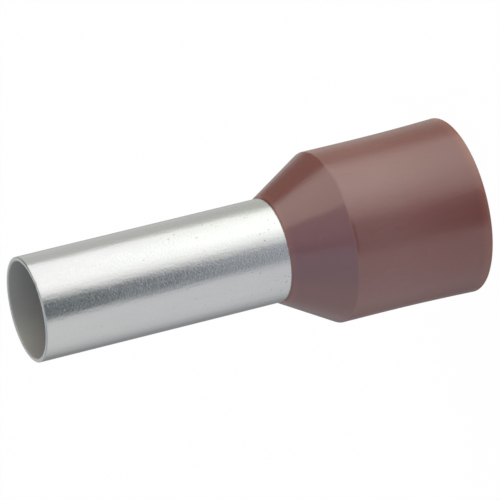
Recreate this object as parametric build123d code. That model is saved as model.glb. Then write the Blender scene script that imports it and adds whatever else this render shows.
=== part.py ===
from build123d import *
import os

# Wire ferrule with an insulating collar, for a 10 mm2 stranded conductor.
# It stands on the collar's mouth: the origin is the middle of the mouth, and +Z runs
# along the axis to the sleeve's free end. All sizes are in millimetres.

# Tinned copper sleeve
sleeve_bore = 4.5
sleeve_wall = 0.2
sleeve_free_length = 12.1
sleeve_rim_round = 0.05

# Insulating collar, from its mouth up: a bell, the rest of the barrel, then the cone
bell_length = 5.0
bell_rise = 0.11
plain_barrel_length = 1.77
cone_length = 2.63
collar_diameter = 8.1
collar_wall = 0.4
shoulder_round = 0.12
lip_width = 0.09
lip_round = 0.04
neck_length = 0.3

# Inside of the collar: the lead-in at its mouth, and the funnel above the barrel's bore
lead_in_length = 2.4
lead_in_rise = 0.1
mouth_round = 0.05
funnel_round = 0.4

# Share of the funnel's width, from the tube to the barrel's bore, that the flare covers
flare_reach = 0.63

# Radii that both pieces share
bore_radius = sleeve_bore / 2
sleeve_radius = bore_radius + sleeve_wall
collar_radius = collar_diameter / 2
lip_radius = sleeve_radius + lip_width
barrel_bore_radius = collar_radius - collar_wall
flare_radius = sleeve_radius + flare_reach * (barrel_bore_radius - sleeve_radius)

# Heights above the mouth
shoulder_height = bell_length + plain_barrel_length
collar_length = shoulder_height + cone_length
sleeve_top = collar_length + sleeve_free_length

# The cone's fall, and its length along the slope, for each millimetre that it widens
cone_slope = cone_length / (collar_radius - lip_radius)
cone_slant = (1 + cone_slope**2) ** 0.5

# The seat is the line that the flare's outer face lies on, and the funnel is the line
# of its inner face, which the collar carries on with no step for the strands to catch on.
seat_depth = collar_wall
funnel_depth = collar_wall + sleeve_wall

# The bend from the tube into the flare starts where the neck's straight grip ends. Its
# radius is on the collar's side, and the factor is the tangent of half the cone's angle.
bend_drop = seat_depth * cone_slant - lip_width * cone_slope - neck_length
flare_bend = bend_drop / (cone_slant - cone_slope)


def cone_height(radius, depth):
    """Height at a radius of the line that lies a depth under the cone's outer face."""
    return collar_length - (radius - lip_radius) * cone_slope - depth * cone_slant


def flare_edge(depth):
    """Corner of the flare's square-cut edge on the line a depth under the cone's face."""
    radius = flare_radius - (depth - seat_depth) * cone_slope / cone_slant
    return (radius, cone_height(radius, depth))


def mouth_curve(radius, length, rise):
    """Arc that leaves a wall of the barrel at a height and meets the mouth wider by a rise."""
    return TangentArc((radius, length), (radius + rise, 0), tangent=(0, -1))


def turned(section):
    """Solid of revolution about the Z axis from a flat section in radius and height."""
    return revolve(Plane.XZ * section, Axis.Z)


def make_sleeve():
    """Tube whose lower end is bent outwards over the collar's neck and onto its seat."""
    outline = FilletPolyline(
        (bore_radius, sleeve_top),
        (sleeve_radius, sleeve_top),
        (sleeve_radius, cone_height(sleeve_radius, seat_depth)),
        flare_edge(seat_depth),
        flare_edge(funnel_depth),
        (bore_radius, cone_height(bore_radius, funnel_depth)),
        radius=[sleeve_rim_round, sleeve_rim_round, flare_bend, 0, 0, flare_bend + sleeve_wall],
        close=True,
    )
    return turned(make_face(outline))


def make_collar():
    """Moulded collar: neck, cone, barrel and belled mouth, with the flare's seat inside."""
    walls = FilletPolyline(
        (collar_radius, bell_length),
        (collar_radius, shoulder_height),
        (lip_radius, collar_length),
        (sleeve_radius, collar_length),
        (sleeve_radius, cone_height(sleeve_radius, seat_depth)),
        flare_edge(seat_depth),
        flare_edge(funnel_depth),
        (barrel_bore_radius, cone_height(barrel_bore_radius, funnel_depth)),
        (barrel_bore_radius, lead_in_length),
        radius=[shoulder_round, lip_round, 0, flare_bend, 0, 0, funnel_round],
    )
    bell = mouth_curve(collar_radius, bell_length, bell_rise)
    lead_in = mouth_curve(barrel_bore_radius, lead_in_length, lead_in_rise)
    section = make_face(walls + bell + lead_in + Line(bell @ 1, lead_in @ 1))
    rim_corners = section.vertices().group_by(Axis.Y)[0]
    return turned(fillet(rim_corners, mouth_round))


os.makedirs("parts", exist_ok=True)
export_step(make_sleeve(), "parts/tinned_sleeve.step")
export_step(make_collar(), "parts/insulating_collar.step")
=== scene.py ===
"""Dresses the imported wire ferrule: its tinned sleeve, its moulded collar, the studio and the camera."""
import logging
import math
from dataclasses import dataclass, field
from enum import Enum

import bmesh
import bpy
from mathutils import Matrix, Vector, noise


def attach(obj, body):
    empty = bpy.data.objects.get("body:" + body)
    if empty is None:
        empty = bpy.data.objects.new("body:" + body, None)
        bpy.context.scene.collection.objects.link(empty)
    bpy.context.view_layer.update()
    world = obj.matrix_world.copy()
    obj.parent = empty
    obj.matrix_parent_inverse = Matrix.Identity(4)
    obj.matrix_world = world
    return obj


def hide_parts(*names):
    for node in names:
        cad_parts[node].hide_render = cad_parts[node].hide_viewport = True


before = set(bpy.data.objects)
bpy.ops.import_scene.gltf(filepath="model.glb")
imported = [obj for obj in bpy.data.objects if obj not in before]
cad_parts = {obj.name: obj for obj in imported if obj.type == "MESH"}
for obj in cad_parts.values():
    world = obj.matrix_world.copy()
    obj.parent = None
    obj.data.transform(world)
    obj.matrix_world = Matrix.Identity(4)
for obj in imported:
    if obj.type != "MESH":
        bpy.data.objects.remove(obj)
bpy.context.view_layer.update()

Socket = bpy.types.NodeSocket
Colour = tuple[float, float, float, float]
Span = tuple[float, float]

MILLIMETRE = 0.001
PICTURE_SIDE = 500
log = logging.getLogger("ferrule")


class GrainLay(Enum):
    """How a pattern lies on a turned piece, as factors on the Object coordinates."""

    EVEN = (1.0, 1.0, 1.0)
    DRAWN = (1.0, 1.0, 0.04)
    FLOWING = (1.0, 1.0, 0.22)


@dataclass(frozen=True)
class Corner:
    """Corner of a turned section, in millimetres.

    Args:
        radius: Distance from the axis.
        height: Height above the collar's mouth.
        rounding: Radius of the round that breaks the corner, or none.
    """

    radius: float
    height: float
    rounding: float = 0.0

    @property
    def point(self) -> Vector:
        """The corner as a point of the XZ plane."""
        return Vector((self.radius, 0.0, self.height))


class NodeBoard:
    """Node tree of a material or a world, with short calls that add and join nodes."""

    def __init__(self, tree: bpy.types.NodeTree) -> None:
        """Takes the node tree to fill and clears it."""
        self.tree = tree
        tree.nodes.clear()

    def add(self, kind: str, inputs: dict[str, object] | None = None, **settings: object) -> bpy.types.Node:
        """Adds a node.

        Args:
            kind: Blender's name of the node's type.
            inputs: Value or source socket for each named input.
            settings: The node's own properties.

        Returns:
            The new node.
        """
        node = self.tree.nodes.new(kind)
        for name, value in settings.items():
            setattr(node, name, value)
        for name, value in (inputs or {}).items():
            self.feed(node.inputs[name], value)
        return node

    def feed(self, socket: Socket, value: object) -> None:
        """Links a source socket to an input, or sets the input's value.

        Args:
            socket: The input.
            value: A source socket, or a number or colour.
        """
        if isinstance(value, Socket):
            self.tree.links.new(value, socket)
        else:
            socket.default_value = value

    def place(self, lay: GrainLay) -> Socket:
        """Object coordinates times a lay's factors."""
        source = self.add("ShaderNodeTexCoord").outputs["Object"]
        return self.add("ShaderNodeMapping", {"Vector": source, "Scale": lay.value}).outputs["Vector"]

    def grain(self, size: float, lay: GrainLay = GrainLay.EVEN, detail: float = 2.0) -> Socket:
        """Noise from 0 to 1, with its features' size in millimetres and a number of finer layers."""
        inputs = {"Vector": self.place(lay), "Scale": 1.0 / (size * MILLIMETRE), "Detail": detail}
        return self.add("ShaderNodeTexNoise", inputs).outputs[0]

    def remap(self, value: Socket, start: float, end: float, low: float, high: float,
              smooth: bool = False) -> Socket:
        """Maps a range of a value to another range, clamped.

        Args:
            value: The source.
            start: Value that gives low.
            end: Value that gives high.
            low: Result at the start.
            high: Result at the end.
            smooth: Whether the ends ease in and out.

        Returns:
            The mapped value.
        """
        inputs = {"Value": value, "From Min": start, "From Max": end, "To Min": low, "To Max": high}
        style = "SMOOTHSTEP" if smooth else "LINEAR"
        return self.add("ShaderNodeMapRange", inputs, interpolation_type=style).outputs["Result"]

    def combine(self, operation: str, first: object, second: object) -> Socket:
        """Joins two values with a Math node.

        Args:
            operation: The Math node's operation.
            first: Its first value or source.
            second: Its second value or source.

        Returns:
            The result.
        """
        node = self.add("ShaderNodeMath", operation=operation)
        self.feed(node.inputs[0], first)
        self.feed(node.inputs[1], second)
        return node.outputs[0]

    def tint(self, factor: object, first: object, second: object) -> Socket:
        """Mixes two colours.

        Args:
            factor: Share of the second.
            first: Colour or source at no share.
            second: Colour or source at full share.

        Returns:
            The mixed colour.
        """
        node = self.add("ShaderNodeMix", data_type="RGBA")
        self.feed(node.inputs["Factor"], factor)
        self.feed(node.inputs[6], first)
        self.feed(node.inputs[7], second)
        return node.outputs[2]

    def height(self) -> Socket:
        """Height above the collar's mouth, in metres."""
        source = self.add("ShaderNodeTexCoord").outputs["Object"]
        return self.add("ShaderNodeSeparateXYZ", {"Vector": source}).outputs["Z"]

    def radius(self) -> Socket:
        """Distance from the ferrule's axis.

        Returns:
            The distance in metres.
        """
        source = self.add("ShaderNodeTexCoord").outputs["Object"]
        flat = self.add("ShaderNodeVectorMath", operation="MULTIPLY")
        self.feed(flat.inputs[0], source)
        self.feed(flat.inputs[1], (1.0, 1.0, 0.0))
        length = self.add("ShaderNodeVectorMath", {"Vector": flat.outputs[0]}, operation="LENGTH")
        return length.outputs["Value"]

    def finish(self, kind: str, shader: Socket) -> None:
        """Joins a shader to the tree's output, which is a node of a kind."""
        self.add(kind, {"Surface": shader})

    def glow(self, light: Socket) -> None:
        """Makes the tree's material send out a light."""
        self.finish("ShaderNodeOutputMaterial", self.add("ShaderNodeEmission", {"Color": light}).outputs[0])


def colour(red: float, green: float, blue: float) -> Colour:
    """An opaque colour from its linear parts."""
    return (red, green, blue, 1.0)


def new_material(name: str) -> tuple[bpy.types.Material, NodeBoard]:
    """Starts a material.

    Args:
        name: The material's name.

    Returns:
        The material and its empty node tree.
    """
    made = bpy.data.materials.new(name)
    made.use_nodes = True
    return made, NodeBoard(made.node_tree)


def new_object(name: str, shape: bmesh.types.BMesh, finish: bpy.types.Material) -> bpy.types.Object:
    """Makes an object of a shape and links it to the scene.

    Args:
        name: The object's name.
        shape: The shape, which is used up.
        finish: The object's material.

    Returns:
        The object.
    """
    mesh = bpy.data.meshes.new(name)
    shape.to_mesh(mesh)
    shape.free()
    mesh.materials.append(finish)
    made = bpy.data.objects.new(name, mesh)
    bpy.context.scene.collection.objects.link(made)
    return made


def spin(shape: bmesh.types.BMesh, steps: int) -> None:
    """Turns the lines of a shape all the way round the Z axis.

    Args:
        shape: The shape.
        steps: Facets in a full turn.
    """
    bmesh.ops.spin(
        shape, geom=shape.verts[:] + shape.edges[:], cent=(0.0, 0.0, 0.0), axis=(0.0, 0.0, 1.0),
        angle=math.tau, steps=steps, use_merge=True,
    )


@dataclass(frozen=True)
class MatteTin:
    """Tin plate on drawn copper tube: fine matte grain, faint draw lines and small pits.

    Args:
        bright: Colour of the high grain.
        dull: Colour of the low grain.
        clouded: Colour of the duller streaks along the tube.
        pit: Colour inside the pits.
        bore: Colour of the bore.
        grain_size: Width of the plate's grain in millimetres.
        grain_relief: Height of the grain in millimetres.
        grain_span: Levels of the grain's noise between dull and bright plate.
        line_size: Width of the draw lines in millimetres.
        line_relief: Height of the draw lines in millimetres.
        line_blur: Roughness that the draw lines add or take away.
        cloud_size: Width of the duller streaks in millimetres.
        cloud_share: How far the streaks go to their colour.
        noise_span: Levels of the lines' and streaks' noise between none and full.
        patch_size: Width of the plate's wider unevenness in millimetres.
        patch_relief: Height of the wider unevenness in millimetres.
        pit_size: Width of the pits' noise in millimetres.
        pit_span: Levels of that noise between no pit and a full pit.
        pit_share: How far the pits go to their colour.
        pit_depth: Depth of the pits in millimetres.
        roughness: Least and greatest roughness of the grain, without the other shares.
        bore_span: Parts of the wall, from the bore out, between the bore's look and the plate's.
        bore_blur: Extra roughness of the bore.
        collar_blur: Extra roughness beside the collar, which fades out at the free end.
        pit_gather: How much likelier pits are beside the collar, for each part of that roughness.
    """

    bright: Colour = colour(0.68, 0.68, 0.68)
    dull: Colour = colour(0.645, 0.645, 0.640)
    clouded: Colour = colour(0.630, 0.638, 0.640)
    pit: Colour = colour(0.36, 0.36, 0.34)
    bore: Colour = colour(0.68, 0.655, 0.62)
    grain_size: float = 0.10
    grain_relief: float = 0.0036
    grain_span: Span = (0.3, 0.7)
    line_size: float = 0.11
    line_relief: float = 0.0008
    line_blur: float = 0.015
    cloud_size: float = 0.7
    cloud_share: float = 0.8
    noise_span: Span = (0.35, 0.65)
    patch_size: float = 0.34
    patch_relief: float = 0.008
    pit_size: float = 0.14
    pit_span: Span = (0.78, 0.83)
    pit_share: float = 0.45
    pit_depth: float = 0.004
    roughness: Span = (0.15, 0.19)
    bore_span: Span = (0.1, 0.3)
    bore_blur: float = 0.5
    collar_blur: float = 0.06
    pit_gather: float = 1.4

    def material(self, form: "FerruleForm") -> bpy.types.Material:
        """Builds the finish.

        Args:
            form: The ferrule's sizes, for the places where the finish changes.

        Returns:
            The material.
        """
        made, board = new_material("matte_tin")
        wall = form.sleeve_wall * MILLIMETRE
        bore = form.bore_radius * MILLIMETRE
        first, last = (bore + part * wall for part in self.bore_span)
        inside = board.remap(board.radius(), first, last, 1.0, 0.0)
        lip_line = form.collar_length * MILLIMETRE
        rim_line = form.sleeve_top * MILLIMETRE
        near_collar = board.remap(board.height(), lip_line, rim_line, self.collar_blur, 0.0)
        grain = board.grain(self.grain_size, detail=3.0)
        lines = board.grain(self.line_size, GrainLay.DRAWN)
        cloud = board.grain(self.cloud_size, GrainLay.FLOWING, detail=4.0)
        patches = board.grain(self.patch_size, GrainLay.FLOWING)
        gathered = board.combine("MULTIPLY", near_collar, self.pit_gather)
        likely = board.combine("ADD", board.grain(self.pit_size, detail=1.0), gathered)
        specks = board.remap(likely, *self.pit_span, 0.0, 1.0)
        plate = board.tint(board.remap(grain, *self.grain_span, 0.0, 1.0), self.dull, self.bright)
        streaks = board.remap(cloud, *self.noise_span, 0.0, self.cloud_share)
        streaked = board.tint(streaks, plate, self.clouded)
        pitted = board.tint(board.combine("MULTIPLY", specks, self.pit_share), streaked, self.pit)
        rough = board.combine(
            "ADD",
            board.remap(grain, *self.grain_span, *self.roughness),
            board.remap(lines, *self.noise_span, -self.line_blur, self.line_blur),
        )
        blurred = board.combine("ADD", board.combine("MULTIPLY", inside, self.bore_blur), near_collar)
        rough = board.combine("ADD", rough, blurred)
        relief = board.combine(
            "ADD",
            board.combine("MULTIPLY", grain, self.grain_relief * MILLIMETRE),
            board.combine("MULTIPLY", lines, self.line_relief * MILLIMETRE),
        )
        uneven = board.combine("MULTIPLY", patches, self.patch_relief * MILLIMETRE)
        relief = board.combine("ADD", relief, uneven)
        pits = board.combine("MULTIPLY", specks, self.pit_depth * MILLIMETRE)
        relief = board.combine("SUBTRACT", relief, pits)
        bump = board.add("ShaderNodeBump", {"Strength": 1.0, "Distance": 1.0, "Height": relief})
        shader = board.add("ShaderNodeBsdfPrincipled", {
            "Base Color": board.tint(inside, pitted, self.bore),
            "Metallic": 1.0,
            "Roughness": rough,
            "Normal": bump.outputs["Normal"],
        })
        board.finish("ShaderNodeOutputMaterial", shader.outputs["BSDF"])
        return made


@dataclass(frozen=True)
class BrownPolypropylene:
    """Moulded brown polypropylene: satin gloss, a little light through it, flow marks and scuffs, with
    painted light and shade near the mouth, painted light on the lip and cone and a painted highlight along
    the shoulder.

    Args:
        body: Colour of the wall.
        cloud: Colour of the cloudier flow of pigment.
        streak: Colour of the short redder streaks along the barrel.
        cone: Colour of the cone, painted greyer and less red than the barrel as the light of the sleeve's
            flare behind its wall.
        lip: Painted light on the thin wedge beside the sleeve, lighter and oranger, as the tin behind it
            would throw.
        glow: Painted light and shade for light through the wall: the darker, deeper red painted on the
            barrel's lower part.
        edge: Painted light through the wall: the brighter red painted on the mouth's edge.
        dust_and_highlight: Colour of the dust specks, and of the painted highlight along the shoulder.
        through: How far red, green and blue light go in the wall, in millimetres.
        through_share: Share of the light that goes into the wall.
        refraction: Refractive index that the gloss is worked out from.
        gloss: Level of the gloss, where one half is plain.
        roughness: Least and greatest roughness, without the barrel's extra.
        barrel_blur: Extra roughness of the barrel over the cone.
        blur_reach: Distance below the shoulder where it is full, in millimetres.
        flow_size: Width of the pigment's flow in millimetres.
        flow_span: Levels of the flow's noise between none and full.
        ripple_size: Width of the widest ripples in millimetres.
        ripple_relief: Height of the widest ripples in millimetres.
        dimple_size: Width of the dimples in millimetres.
        dimple_relief: Height of the dimples in millimetres.
        scuff_size: Width of the short streaks in millimetres.
        scuff_relief: Height of the short streaks in millimetres.
        scuff_span: Levels of the streaks' noise between none and full.
        scuff_share: How far the short streaks go to their colour.
        peel_size: Width of the finest grain in millimetres.
        peel_relief: Height of the finest grain in millimetres.
        dust_size: Width of the dust's noise in millimetres.
        dust_span: Levels of that noise between no dust and a full speck.
        dust_share: How far the dust goes to the pale colour that it shares with the shoulder's painted
            highlight.
        cone_reach: Distances below and above the shoulder where the cone's colour takes over, in millimetres.
        glow_heights: Heights where the painted glow starts to fade and where it ends, in millimetres.
        glow_least: Share of the painted glow that is left where the pigment is cloudiest.
        edge_heights: Heights where the painted edge light starts to fade and where it ends, in millimetres.
        lip_light_reach: Height of the lip's painted light, in millimetres.
        lip_light_share: How far the lip goes to its painted light.
        highlight_reach: Distance from the shoulder that the painted highlight reaches, in millimetres.
        highlight_share: How far the shoulder goes to the painted highlight's colour.
    """

    body: Colour = colour(0.188, 0.046, 0.037)
    cloud: Colour = colour(0.200, 0.053, 0.044)
    streak: Colour = colour(0.205, 0.030, 0.026)
    cone: Colour = colour(0.172, 0.049, 0.042)
    lip: Colour = colour(0.23, 0.072, 0.048)
    glow: Colour = colour(0.162, 0.020, 0.011)
    edge: Colour = colour(0.230, 0.048, 0.022)
    dust_and_highlight: Colour = colour(0.24, 0.12, 0.11)
    through: tuple[float, float, float] = (0.55, 0.20, 0.16)
    through_share: float = 0.35
    refraction: float = 1.65
    gloss: float = 0.88
    roughness: Span = (0.155, 0.195)
    barrel_blur: float = 0.07
    blur_reach: float = 0.6
    flow_size: float = 1.9
    flow_span: Span = (0.2, 0.8)
    ripple_size: float = 1.1
    ripple_relief: float = 0.014
    dimple_size: float = 0.42
    dimple_relief: float = 0.003
    scuff_size: float = 0.17
    scuff_relief: float = 0.003
    scuff_span: Span = (0.45, 0.75)
    scuff_share: float = 0.5
    peel_size: float = 0.13
    peel_relief: float = 0.0008
    dust_size: float = 0.12
    dust_span: Span = (0.77, 0.83)
    dust_share: float = 0.5
    cone_reach: Span = (0.5, 0.4)
    glow_heights: Span = (1.2, 5.2)
    glow_least: float = 0.7
    edge_heights: Span = (0.1, 0.55)
    lip_light_reach: float = 0.30
    lip_light_share: float = 0.55
    highlight_reach: float = 0.08
    highlight_share: float = 0.08

    def material(self, form: "FerruleForm") -> bpy.types.Material:
        """Builds the finish.

        Args:
            form: The ferrule's sizes, for the places where the colour changes.

        Returns:
            The material.
        """
        made, board = new_material("brown_polypropylene")
        height = board.height()
        lip_line = form.collar_length * MILLIMETRE
        shoulder_line = form.shoulder_height * MILLIMETRE
        flow = board.grain(self.flow_size, GrainLay.FLOWING, detail=3.0)
        peel = board.grain(self.peel_size)
        ripple = board.grain(self.ripple_size, GrainLay.FLOWING, detail=1.0)
        dimple = board.grain(self.dimple_size, GrainLay.FLOWING, detail=1.0)
        scuffs = board.grain(self.scuff_size, GrainLay.FLOWING)
        dust = board.remap(board.grain(self.dust_size, detail=1.0), *self.dust_span, 0.0, self.dust_share)
        flowed = board.tint(board.remap(flow, *self.flow_span, 0.0, 1.0, smooth=True), self.body, self.cloud)
        scuffed = board.remap(scuffs, *self.scuff_span, 0.0, self.scuff_share, smooth=True)
        barrel = board.tint(scuffed, flowed, self.streak)
        # Painted light: the cone painted greyer and less red, for the sleeve's flare behind its wall.
        cone_foot = shoulder_line - self.cone_reach[0] * MILLIMETRE
        cone_full = shoulder_line + self.cone_reach[1] * MILLIMETRE
        base = board.tint(board.remap(height, cone_foot, cone_full, 0.0, 1.0, smooth=True), barrel, self.cone)
        # Painted light and shade: a darker, deeper red painted on the barrel towards the mouth, for light
        # through the wall, patchy with the pigment's flow.
        glow_full, glow_end = (level * MILLIMETRE for level in self.glow_heights)
        near_mouth = board.remap(height, glow_full, glow_end, 1.0, 0.0, smooth=True)
        uneven = board.remap(flow, *self.flow_span, 1.0, self.glow_least, smooth=True)
        patchy = board.combine("MULTIPLY", near_mouth, uneven)
        # Painted light through the wall: a brighter red painted on the mouth's edge.
        edge_full, edge_end = (level * MILLIMETRE for level in self.edge_heights)
        near_edge = board.remap(height, edge_full, edge_end, 1.0, 0.0, smooth=True)
        glowing = board.tint(near_edge, board.tint(patchy, base, self.glow), self.edge)
        # Painted light: the thin lip beside the sleeve painted lighter and oranger, as if lit by the tin
        # behind it.
        lip_foot = lip_line - self.lip_light_reach * MILLIMETRE
        lip_light_mask = board.remap(height, lip_foot, lip_line, 0.0, self.lip_light_share, smooth=True)
        with_lip_light = board.tint(lip_light_mask, glowing, self.lip)
        # Painted highlight: a lighter band painted along the shoulder's edge.
        off_shoulder = board.combine("ABSOLUTE", board.combine("SUBTRACT", height, shoulder_line), 0.0)
        shoulder_highlight = board.remap(off_shoulder, 0.0, self.highlight_reach * MILLIMETRE, self.highlight_share, 0.0, smooth=True)
        with_highlight = board.tint(shoulder_highlight, with_lip_light, self.dust_and_highlight)
        dusted = board.tint(dust, with_highlight, self.dust_and_highlight)
        blur_foot = shoulder_line - self.blur_reach * MILLIMETRE
        on_barrel = board.remap(height, blur_foot, shoulder_line, self.barrel_blur, 0.0, smooth=True)
        satin = board.remap(flow, *self.flow_span, *self.roughness, smooth=True)
        rough = board.combine("ADD", satin, on_barrel)
        relief = board.combine(
            "ADD",
            board.combine("MULTIPLY", ripple, self.ripple_relief * MILLIMETRE),
            board.combine("MULTIPLY", dimple, self.dimple_relief * MILLIMETRE),
        )
        fine = board.combine(
            "ADD",
            board.combine("MULTIPLY", scuffs, self.scuff_relief * MILLIMETRE),
            board.combine("MULTIPLY", peel, self.peel_relief * MILLIMETRE),
        )
        relief = board.combine("ADD", relief, fine)
        bump = board.add("ShaderNodeBump", {"Strength": 1.0, "Distance": 1.0, "Height": relief})
        shader = board.add("ShaderNodeBsdfPrincipled", {
            "Base Color": dusted,
            "Roughness": rough,
            "IOR": self.refraction,
            "Specular IOR Level": self.gloss,
            "Subsurface Weight": self.through_share,
            "Subsurface Radius": self.through,
            "Subsurface Scale": MILLIMETRE,
            "Normal": bump.outputs["Normal"],
        })
        board.finish("ShaderNodeOutputMaterial", shader.outputs["BSDF"])
        return made


@dataclass(frozen=True)
class FerruleForm:
    """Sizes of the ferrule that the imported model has, in millimetres, and what follows from them."""

    sleeve_bore: float = 4.5
    sleeve_wall: float = 0.2
    sleeve_free_length: float = 12.1
    rim_round: float = 0.05
    bell_length: float = 5.0
    bell_rise: float = 0.11
    plain_barrel_length: float = 1.77
    cone_length: float = 2.63
    collar_diameter: float = 8.1
    collar_wall: float = 0.4
    shoulder_round: float = 0.12
    lip_width: float = 0.09
    lip_round: float = 0.04
    neck_length: float = 0.3
    lead_in_length: float = 2.4
    lead_in_rise: float = 0.1
    mouth_round: float = 0.05
    funnel_round: float = 0.4
    flare_reach: float = 0.63

    @property
    def bore_radius(self) -> float:
        """Radius of the sleeve's bore."""
        return self.sleeve_bore / 2

    @property
    def sleeve_radius(self) -> float:
        """Outer radius of the sleeve."""
        return self.bore_radius + self.sleeve_wall

    @property
    def collar_radius(self) -> float:
        """Outer radius of the straight barrel."""
        return self.collar_diameter / 2

    @property
    def lip_radius(self) -> float:
        """Outer radius of the collar's lip beside the sleeve."""
        return self.sleeve_radius + self.lip_width

    @property
    def barrel_bore_radius(self) -> float:
        """Inner radius of the straight barrel."""
        return self.collar_radius - self.collar_wall

    @property
    def flare_radius(self) -> float:
        """Outer radius of the sleeve's flare."""
        return self.sleeve_radius + self.flare_reach * (self.barrel_bore_radius - self.sleeve_radius)

    @property
    def shoulder_height(self) -> float:
        """Height of the shoulder between the barrel and the cone."""
        return self.bell_length + self.plain_barrel_length

    @property
    def collar_length(self) -> float:
        """Height of the collar's lip."""
        return self.shoulder_height + self.cone_length

    @property
    def sleeve_top(self) -> float:
        """Height of the sleeve's free end."""
        return self.collar_length + self.sleeve_free_length

    @property
    def cone_slope(self) -> float:
        """Fall of the cone for each millimetre that it widens."""
        return self.cone_length / (self.collar_radius - self.lip_radius)

    @property
    def cone_slant(self) -> float:
        """Length along the cone for each millimetre that it widens."""
        return math.hypot(1.0, self.cone_slope)

    @property
    def funnel_depth(self) -> float:
        """Depth of the funnel's line under the cone's outer face."""
        return self.collar_wall + self.sleeve_wall

    @property
    def flare_bend(self) -> float:
        """Radius of the bend from the tube into the flare, on the collar's side."""
        drop = self.collar_wall * self.cone_slant - self.lip_width * self.cone_slope - self.neck_length
        return drop / (self.cone_slant - self.cone_slope)

    def cone_height(self, radius: float, depth: float) -> float:
        """Height at a radius of the line that lies a depth under the cone's outer face."""
        return self.collar_length - (radius - self.lip_radius) * self.cone_slope - depth * self.cone_slant

    def flare_edge(self, depth: float) -> Corner:
        """Corner of the flare's square-cut edge on the line a depth under the cone's face."""
        radius = self.flare_radius - (depth - self.collar_wall) * self.cone_slope / self.cone_slant
        return Corner(radius, self.cone_height(radius, depth))


@dataclass
class TurnedPiece:
    """Piece turned about the Z axis from a closed section with rounded corners.

    Args:
        form: The ferrule's sizes.
        steps: Facets in a full turn.
        ring_step: Greatest distance between two rings of the mesh, in millimetres.
        round_segments: Rings in each rounded corner.
        merge_distance: Greatest distance between points that are merged, in millimetres.
        sharp_angle: Degrees between two faces from which their edge is shaded sharp.
    """

    form: FerruleForm = field(default_factory=FerruleForm)
    steps: int = 240
    ring_step: float = 0.16
    round_segments: int = 6
    merge_distance: float = 0.0005
    sharp_angle: float = 40.0

    def section(self) -> list[Corner]:
        """Corners of the section, in order round it."""
        raise NotImplementedError

    def opened(self, point: Vector) -> Vector:
        """A point of the section once its curved walls are bent."""
        return point

    def touched(self, point: Vector) -> Vector:
        """A point of the turned shape with the small unevenness of the real piece."""
        return point

    def draw_section(self, shape: bmesh.types.BMesh) -> None:
        """Draws the section as a closed wire, rounds it, divides its long edges and bends its curved walls.

        Args:
            shape: The empty mesh to draw in.
        """
        corners = self.section()
        points = [shape.verts.new(corner.point) for corner in corners]
        for start, end in zip(points, points[1:] + points[:1]):
            shape.edges.new((start, end))
        neighbours = zip(corners[-1:] + corners[:-1], corners, corners[1:] + corners[:1])
        for before, corner, after in neighbours:
            if corner.rounding:
                self.round_corner(shape, before.point, corner, after.point)
        for edge in list(shape.edges):
            cuts = math.ceil(edge.calc_length() / self.ring_step) - 1
            if cuts > 0:
                bmesh.ops.subdivide_edges(shape, edges=[edge], cuts=cuts)
        for vert in shape.verts:
            vert.co = self.opened(vert.co)

    def round_corner(self, shape: bmesh.types.BMesh, before: Vector, corner: Corner, after: Vector) -> None:
        """Rounds one corner of the drawn section.

        Args:
            shape: The mesh that holds the section.
            before: The corner before it.
            corner: The corner.
            after: The corner after it.
        """
        turn = (corner.point - before).angle(after - corner.point)
        nearest = min(shape.verts, key=lambda vert: (vert.co - corner.point).length_squared)
        bmesh.ops.bevel(
            shape, geom=[nearest], offset=corner.rounding * math.tan(turn / 2), offset_type="OFFSET",
            segments=self.round_segments, profile=0.5, affect="VERTICES", material=-1,
        )

    def build(self, name: str, node: str, slot: str, finish: bpy.types.Material) -> bpy.types.Object:
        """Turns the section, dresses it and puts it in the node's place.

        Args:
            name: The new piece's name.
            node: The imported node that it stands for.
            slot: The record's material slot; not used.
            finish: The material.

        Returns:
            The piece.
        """
        shape = bmesh.new()
        self.draw_section(shape)
        spin(shape, self.steps)
        bmesh.ops.remove_doubles(shape, verts=shape.verts, dist=self.merge_distance)
        for vert in shape.verts:
            vert.co = self.touched(vert.co)
        bmesh.ops.recalc_face_normals(shape, faces=shape.faces)
        bmesh.ops.scale(shape, vec=(MILLIMETRE,) * 3, verts=shape.verts)
        piece = new_object(name, shape, finish)
        piece.data.shade_smooth()
        piece.data.set_sharp_from_angle(angle=math.radians(self.sharp_angle))
        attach(piece, "root")
        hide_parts(node)
        log.info("%s: %d faces", name, len(piece.data.polygons))
        return piece


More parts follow.
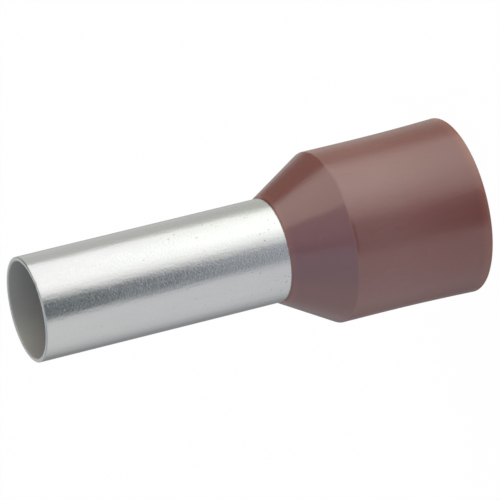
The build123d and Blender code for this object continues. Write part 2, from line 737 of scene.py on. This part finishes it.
@dataclass
class TinnedSleeve(TurnedPiece):
    """Drawn tube, plain at its free end and belled inside the collar.

    Args:
        fade_length: Length below the rim over which the end's marks fade out, in millimetres.
        uneven: Half of the cut end's greatest unevenness, in millimetres.
        uneven_ring: Radius of the ring that the unevenness is read on, in widths of the noise's features.
        tilt: Half of the drop across the slanting cut, in millimetres.
        tilt_turn: Degrees from the camera's side towards +X to the cut's lowest place.
        nick_turn: Degrees from the camera's side towards +X to the nick.
        nick_width: About half of the nick's width, in millimetres.
        nick_depth: Depth of the nick, in millimetres.
        finish: The tube's finish.
    """

    fade_length: float = 1.0
    uneven: float = 0.005
    uneven_ring: float = 2.0
    tilt: float = 0.018
    tilt_turn: float = 140.0
    nick_turn: float = 25.4
    nick_width: float = 0.10
    nick_depth: float = 0.022
    finish: MatteTin = field(default_factory=MatteTin)

    def section(self) -> list[Corner]:
        """Lists the corners of the tube's wall.

        Returns:
            The corners, from the bore's top round to its foot.
        """
        form = self.form
        radius = form.sleeve_radius
        bore = form.bore_radius
        return [
            Corner(bore, form.sleeve_top, form.rim_round),
            Corner(radius, form.sleeve_top, form.rim_round),
            Corner(radius, form.cone_height(radius, form.collar_wall), form.flare_bend),
            form.flare_edge(form.collar_wall),
            form.flare_edge(form.funnel_depth),
            Corner(bore, form.cone_height(bore, form.funnel_depth), form.flare_bend + form.sleeve_wall),
        ]

    def touched(self, point: Vector) -> Vector:
        """A point with the cut end's slight slant, unevenness and nick.

        Args:
            point: The point of the turned tube.

        Returns:
            The moved point.
        """
        below_rim = self.form.sleeve_top - point.z
        if below_rim > self.fade_length:
            return point
        turn = math.atan2(point.x, -point.y)
        around = Vector((math.cos(turn), math.sin(turn), 0.0)) * self.uneven_ring
        fade = 1.0 - below_rim / self.fade_length
        reach = math.hypot(point.x, point.y) / self.form.sleeve_radius
        slant = 1.0 + math.cos(turn - math.radians(self.tilt_turn)) * reach
        drop = (self.uneven * (1.0 + noise.noise(around)) + self.tilt * slant) * fade
        apart = (turn - math.radians(self.nick_turn)) * self.form.sleeve_radius / self.nick_width
        drop += self.nick_depth * math.exp(-apart * apart) * fade * fade
        return point - Vector((0.0, 0.0, drop))

    def make(self) -> bpy.types.Object:
        """Builds the sleeve in its packed place."""
        material = self.finish.material(self.form)
        return self.build("sleeve_of_tinned_copper", "tinned_sleeve", "tinned_copper", material)


@dataclass
class InsulatingCollar(TurnedPiece):
    """Moulded collar: neck, cone, barrel and belled mouth, with the flare's seat inside.

    Args:
        wander_size: Width of the barrel's unevenness, in millimetres.
        wander_squeeze: Factor on heights, which draws the unevenness out along the axis.
        wander: Height of the unevenness, which goes mostly inwards, in millimetres.
        wander_gap: Distance below the shoulder where it starts, in millimetres.
        wander_fade: Further distance that it takes to come in fully, in millimetres.
        finish: The collar's finish.
    """

    wander_size: float = 3.0
    wander_squeeze: float = 0.6
    wander: float = 0.004
    wander_gap: float = 0.4
    wander_fade: float = 1.5
    finish: BrownPolypropylene = field(default_factory=BrownPolypropylene)

    def section(self) -> list[Corner]:
        """Lists the corners of the collar's wall, with its two curved walls still straight.

        Returns:
            The corners, from the mouth's outer edge round to its inner one.
        """
        form = self.form
        seat = form.collar_wall
        funnel = form.funnel_depth
        bore = form.barrel_bore_radius
        return [
            Corner(form.collar_radius, 0.0, form.mouth_round),
            Corner(form.collar_radius, form.shoulder_height, form.shoulder_round),
            Corner(form.lip_radius, form.collar_length, form.lip_round),
            Corner(form.sleeve_radius, form.collar_length),
            Corner(form.sleeve_radius, form.cone_height(form.sleeve_radius, seat), form.flare_bend),
            form.flare_edge(seat),
            form.flare_edge(funnel),
            Corner(bore, form.cone_height(bore, funnel), form.funnel_round),
            Corner(bore, 0.0, form.mouth_round),
        ]

    def opened(self, point: Vector) -> Vector:
        """A point of the section once the bell and the lead-in open the mouth.

        Args:
            point: The point of the straight-walled section.

        Returns:
            The point, moved away from the axis near the mouth.
        """
        form = self.form
        inside = point.x < form.collar_radius - form.collar_wall / 2
        length = form.lead_in_length if inside else form.bell_length
        rise = form.lead_in_rise if inside else form.bell_rise
        share = max(0.0, 1.0 - point.z / length)
        return point + Vector((rise * share * share, 0.0, 0.0))

    def touched(self, point: Vector) -> Vector:
        """A point with the barrel's slight unevenness, which both faces of its wall share.

        Args:
            point: The point of the turned collar.

        Returns:
            The moved point.
        """
        clear = self.form.shoulder_height - self.wander_gap - point.z
        share = min(1.0, max(0.0, clear / self.wander_fade))
        if share == 0.0:
            return point
        outward = Vector((point.x, point.y, 0.0)).normalized()
        along = Vector((0.0, 0.0, point.z * self.wander_squeeze))
        spot = (outward * self.form.collar_radius + along) / self.wander_size
        return point + outward * (self.wander * share * (noise.noise(spot) - 0.5))

    def make(self) -> bpy.types.Object:
        """Builds the collar in its packed place."""
        material = self.finish.material(self.form)
        return self.build("collar_of_polypropylene", "insulating_collar", "brown_polypropylene", material)


@dataclass(frozen=True)
class Panel:
    """Brightness of the light tent in one direction.

    Args:
        turn: Degrees from the camera's side towards +X, from -90 to 270.
        light: Colour that the tent sends out there.
    """

    turn: float
    light: tuple[float, float, float]


@dataclass(frozen=True)
class Hoop:
    """Band of the light tent over the lowest one.

    Args:
        start: Height in metres where the band starts to take over from the one below.
        end: Height in metres where it has taken over.
        panels: The brightness at each turn.
    """

    start: float
    end: float
    panels: tuple[Panel, ...]


@dataclass
class LightTent:
    """Round tent of lit cloth, which lights the ferrule and is what its tin and gloss reflect.

    Args:
        radius: Radius of the tent in metres.
        foot: Height of its lower edge in metres.
        top: Height of its lid in metres.
        steps: Facets in a full turn.
        lid_dim: Brightness of the lid's outer part.
        lid_bright: Brightness of the lid's middle.
        lid_span: Parts of the radius between the bright middle and the dim outer part.
        lowest: The lowest band's brightness at each turn.
        hoops: The bands over it, from the lowest up.
    """

    radius: float = 0.55
    foot: float = -0.45
    top: float = 0.62
    steps: int = 64
    lid_dim: float = 0.30
    lid_bright: float = 0.85
    lid_span: Span = (0.1, 0.7)
    lowest: tuple[Panel, ...] = (
        Panel(-90.0, (0.69, 0.7, 0.76)),
        Panel(-40.0, (0.69, 0.7, 0.75)),
        Panel(-28.0, (0.68, 0.69, 0.77)),
        Panel(4.0, (0.78, 0.79, 0.88)),
        Panel(20.0, (1.08, 1.1, 1.08)),
        Panel(34.0, (1.48, 1.53, 1.45)),
        Panel(56.0, (2.0, 2.2, 1.94)),
        Panel(74.0, (1.82, 1.96, 1.7)),
        Panel(92.0, (1.58, 1.62, 1.46)),
        Panel(104.0, (0.6, 0.62, 0.52)),
        Panel(130.0, (0.54, 0.56, 0.46)),
        Panel(150.0, (0.66, 0.66, 0.6)),
        Panel(180.0, (0.35, 0.35, 0.35)),
        Panel(212.0, (0.27, 0.275, 0.285)),
        Panel(234.0, (0.5, 0.525, 0.54)),
        Panel(250.0, (0.64, 0.67, 0.7)),
        Panel(270.0, (0.69, 0.7, 0.76)),
    )
    hoops: tuple[Hoop, ...] = (
        Hoop(-0.213, -0.192, (
            Panel(-90.0, (0.78, 0.78, 0.775)),
            Panel(-40.0, (0.8, 0.8, 0.795)),
            Panel(-25.0, (0.115, 0.14, 0.135)),
            Panel(3.0, (0.11, 0.135, 0.13)),
            Panel(20.0, (1.04, 1.03, 1.0)),
            Panel(34.0, (1.36, 1.335, 1.35)),
            Panel(95.0, (1.36, 1.335, 1.35)),
            Panel(108.0, (0.65, 0.65, 0.63)),
            Panel(130.0, (0.64, 0.64, 0.62)),
            Panel(150.0, (0.68, 0.68, 0.67)),
            Panel(180.0, (0.35, 0.35, 0.35)),
            Panel(212.0, (0.27, 0.275, 0.285)),
            Panel(234.0, (0.53, 0.535, 0.54)),
            Panel(250.0, (0.7, 0.7, 0.7)),
            Panel(270.0, (0.78, 0.78, 0.775)),
        )),
        Hoop(-0.11, -0.03, (
            Panel(-90.0, (0.66, 0.69, 0.72)),
            Panel(-30.0, (0.6, 0.65, 0.7)),
            Panel(-16.0, (0.48, 0.51, 0.58)),
            Panel(4.0, (0.52, 0.55, 0.62)),
            Panel(20.0, (0.8, 0.82, 0.8)),
            Panel(37.0, (1.2, 1.22, 1.16)),
            Panel(92.0, (1.2, 1.22, 1.16)),
            Panel(104.0, (0.28, 0.28, 0.25)),
            Panel(140.0, (0.24, 0.24, 0.22)),
            Panel(172.0, (0.64, 0.65, 0.64)),
            Panel(210.0, (0.46, 0.48, 0.5)),
            Panel(270.0, (0.66, 0.69, 0.72)),
        )),
        Hoop(0.24, 0.32, (
            Panel(-90.0, (0.45, 0.63, 0.8)),
            Panel(-30.0, (0.47, 0.64, 0.8)),
            Panel(-16.0, (0.3, 0.41, 0.56)),
            Panel(0.0, (0.44, 0.55, 0.7)),
            Panel(37.0, (0.5, 0.59, 0.7)),
            Panel(40.0, (1.14, 1.18, 1.12)),
            Panel(88.0, (1.24, 1.28, 1.18)),
            Panel(101.0, (0.15, 0.15, 0.1)),
            Panel(148.0, (0.17, 0.17, 0.12)),
            Panel(178.0, (0.58, 0.59, 0.58)),
            Panel(210.0, (0.34, 0.38, 0.44)),
            Panel(240.0, (0.36, 0.48, 0.6)),
            Panel(270.0, (0.45, 0.63, 0.8)),
        )),
    )

    def ring(self, board: NodeBoard, panels: tuple[Panel, ...]) -> Socket:
        """The light all the way round the tent.

        Args:
            board: The tent's node tree.
            panels: The brightness at each turn.

        Returns:
            The colour.
        """
        source = board.add("ShaderNodeTexCoord").outputs["Object"]
        sweep = board.add("ShaderNodeTexGradient", {"Vector": source}, gradient_type="RADIAL")
        ramp = board.add("ShaderNodeValToRGB", {"Fac": sweep.outputs[1]})
        stops = ramp.color_ramp.elements
        while len(stops) < len(panels):
            stops.new(1.0)
        for stop, panel in zip(stops, panels):
            stop.position = (panel.turn + 90.0) / 360.0
            stop.color = (*panel.light, 1.0)
        return ramp.outputs["Color"]

    def side_finish(self) -> bpy.types.Material:
        """Builds the side's cloth, with each band's light eased into the next.

        Returns:
            The material.
        """
        made, board = self.cloth("lit_side")
        light = self.ring(board, self.lowest)
        for hoop in self.hoops:
            rise = board.remap(board.height(), hoop.start, hoop.end, 0.0, 1.0, smooth=True)
            light = board.tint(rise, light, self.ring(board, hoop.panels))
        board.glow(light)
        return made

    def lid_finish(self) -> bpy.types.Material:
        """Builds the lid's cloth, which brightens from its dim outer part to its middle.

        Returns:
            The material.
        """
        made, board = self.cloth("lit_lid")
        middle, outer = (part * self.radius for part in self.lid_span)
        light = board.remap(board.radius(), middle, outer, self.lid_bright, self.lid_dim, smooth=True)
        board.glow(light)
        return made

    def cloth(self, name: str) -> tuple[bpy.types.Material, NodeBoard]:
        """Starts a cloth that glows without being sampled as a lamp.

        Args:
            name: The material's name.

        Returns:
            The material and its empty tree.
        """
        made, board = new_material(name)
        made.cycles.emission_sampling = "NONE"
        return made, board

    def hang(self, name: str, shape: bmesh.types.BMesh, finish: bpy.types.Material) -> bpy.types.Object:
        """Hangs a part of the tent round the ferrule, unseen by the camera.

        Args:
            name: The part's name.
            shape: Its mesh, which is used up.
            finish: Its cloth.

        Returns:
            The part.
        """
        part = new_object(name, shape, finish)
        part.visible_camera = False
        part.visible_transmission = False
        part.visible_shadow = False
        log.info("%s: %.2f m across", name, 2 * self.radius)
        return part

    def make(self) -> None:
        """Builds the side, which reflections and soft light see, and the lid, which only reflections see."""
        side = bmesh.new()
        line = [side.verts.new((self.radius, 0.0, height)) for height in (self.foot, self.top)]
        side.edges.new(line)
        spin(side, self.steps)
        self.hang("tent_side", side, self.side_finish())
        lid = bmesh.new()
        bmesh.ops.create_circle(
            lid, cap_ends=True, segments=self.steps, radius=self.radius,
            matrix=Matrix.Translation((0.0, 0.0, self.top)),
        )
        self.hang("tent_lid", lid, self.lid_finish()).visible_diffuse = False


@dataclass
class PaleFloor:
    """Plain white table that keeps the ferrule's soft shadow.

    Args:
        radius: Radius of the table in metres.
        gap: Distance of the table under the ferrule in metres.
        own_white: Share of even white where the camera sees the table; the rest keeps the shadow.
        albedo: Share of light that it throws back.
        steps: Facets in a full turn.
    """

    radius: float = 0.5
    gap: float = 0.00001
    own_white: float = 0.98
    albedo: float = 0.9
    steps: int = 96

    def make(self) -> bpy.types.Object:
        """Builds the floor.

        Returns:
            The floor.
        """
        made, board = new_material("white_table")
        seen = background_rays(board)
        paper = board.add("ShaderNodeBsdfDiffuse", {"Color": colour(*(self.albedo,) * 3)}).outputs[0]
        white = board.add("ShaderNodeEmission", {"Color": colour(1.0, 1.0, 1.0), "Strength": 1.0}).outputs[0]
        share = board.combine("MULTIPLY", seen, self.own_white)
        mixed = board.add("ShaderNodeMixShader", {"Fac": share})
        board.feed(mixed.inputs[1], paper)
        board.feed(mixed.inputs[2], white)
        board.finish("ShaderNodeOutputMaterial", mixed.outputs[0])
        shape = bmesh.new()
        bmesh.ops.create_circle(
            shape, cap_ends=True, segments=self.steps, radius=self.radius,
            matrix=Matrix.Translation((0.0, 0.0, -self.gap)),
        )
        floor = new_object("floor", shape, made)
        floor.visible_glossy = False
        floor.visible_shadow = False
        log.info("floor: %.2f m across", 2 * self.radius)
        return floor


def background_rays(board: NodeBoard) -> Socket:
    """One for camera, glossy and transmission rays, which see plain white, and nothing for the rest.

    Args:
        board: The node tree.

    Returns:
        The factor.
    """
    rays = board.add("ShaderNodeLightPath").outputs
    straight = board.combine("MAXIMUM", rays["Is Camera Ray"], rays["Is Glossy Ray"])
    return board.combine("MAXIMUM", straight, rays["Is Transmission Ray"])


@dataclass
class Studio:
    """World and lamp: a white background, even light and one soft lamp.

    Args:
        dome_light: Strength of the even light.
        lamp_place: Place of the lamp in metres; it faces the origin.
        lamp_side: Side of the square lamp in metres.
        lamp_power: Power of the lamp in watts.
        lamp_tint: Colour of its light.
    """

    dome_light: float = 0.85
    lamp_place: tuple[float, float, float] = (0.30, -0.04, 0.20)
    lamp_side: float = 0.20
    lamp_power: float = 0.40
    lamp_tint: tuple[float, float, float] = (1.0, 0.97, 0.80)

    def make(self) -> None:
        """Builds the world and the lamp."""
        world = bpy.data.worlds.new("white_studio")
        world.use_nodes = True
        board = NodeBoard(world.node_tree)
        white = colour(1.0, 1.0, 1.0)
        dome = board.add("ShaderNodeBackground", {"Color": white, "Strength": self.dome_light})
        seen = board.add("ShaderNodeBackground", {"Color": white, "Strength": 1.0})
        mixed = board.add("ShaderNodeMixShader", {"Fac": background_rays(board)})
        board.feed(mixed.inputs[1], dome.outputs[0])
        board.feed(mixed.inputs[2], seen.outputs[0])
        board.finish("ShaderNodeOutputWorld", mixed.outputs[0])
        bpy.context.scene.world = world
        light = bpy.data.lights.new("soft_lamp", "AREA")
        light.shape = "SQUARE"
        light.size = self.lamp_side
        light.energy = self.lamp_power
        light.color = self.lamp_tint
        lamp = bpy.data.objects.new("soft_lamp", light)
        lamp.location = self.lamp_place
        lamp.rotation_euler = Vector(self.lamp_place).to_track_quat("Z", "Y").to_euler()
        lamp.visible_glossy = False
        lamp.visible_camera = False
        bpy.context.scene.collection.objects.link(lamp)
        log.info("studio: dome at %.2f", self.dome_light)


@dataclass(frozen=True)
class PhotoCamera:
    """Camera of the photograph, as its outline gives it.

    Args:
        looks_down: Degrees below the horizon that it looks.
        roll: Degrees that the axis climbs across the picture.
        scale: Pixels for each millimetre at the free end.
        distance: Millimetres to the free end along the view.
        end_across: Pixels from the picture's left to the free end's middle.
        end_down: Pixels from the picture's top to the free end's middle.
        sensor: Width of the sensor in millimetres.
        reach: Nearest and farthest distance that it sees, in metres.
    """

    looks_down: float = 20.45
    roll: float = 13.811
    scale: float = 22.16
    distance: float = 226.0
    end_across: float = 26.05
    end_down: float = 310.04
    sensor: float = 36.0
    reach: Span = (0.01, 10.0)

    def make(self, free_end: float) -> bpy.types.Object:
        """Builds the camera and gives it to the scene.

        Args:
            free_end: Height of the sleeve's free end in millimetres.

        Returns:
            The camera.
        """
        down = math.radians(self.looks_down)
        roll = math.radians(self.roll)
        forward = Vector((0.0, math.cos(down), -math.sin(down)))
        upright = Vector((0.0, math.sin(down), math.cos(down)))
        side = Vector((1.0, 0.0, 0.0))
        right = -math.sin(roll) * side - math.cos(roll) * upright
        top = math.cos(roll) * side - math.sin(roll) * upright
        across = (self.end_across - PICTURE_SIDE / 2) / self.scale
        above = (PICTURE_SIDE / 2 - self.end_down) / self.scale
        place = Vector((0.0, 0.0, free_end)) - self.distance * forward - across * right - above * top
        data = bpy.data.cameras.new("photo_camera")
        data.sensor_width = self.sensor
        data.lens = self.sensor * self.scale * self.distance / PICTURE_SIDE
        data.clip_start, data.clip_end = self.reach
        camera = bpy.data.objects.new("photo_camera", data)
        turn = Matrix((right, top, -forward)).transposed().to_4x4()
        camera.matrix_world = Matrix.Translation(place * MILLIMETRE) @ turn
        bpy.context.scene.collection.objects.link(camera)
        bpy.context.scene.camera = camera
        log.info("camera: %.1f mm lens", data.lens)
        return camera


def main() -> None:
    """Builds the camera, the two pieces and the studio round them."""
    logging.basicConfig(level=logging.INFO, format="%(name)s: %(message)s")
    form = FerruleForm()
    PhotoCamera().make(form.sleeve_top)
    TinnedSleeve(form=form).make()
    InsulatingCollar(form=form).make()
    LightTent().make()
    PaleFloor().make()
    Studio().make()
    bpy.context.scene.view_settings.view_transform = "Standard"


if __name__ == "__main__":
    main()
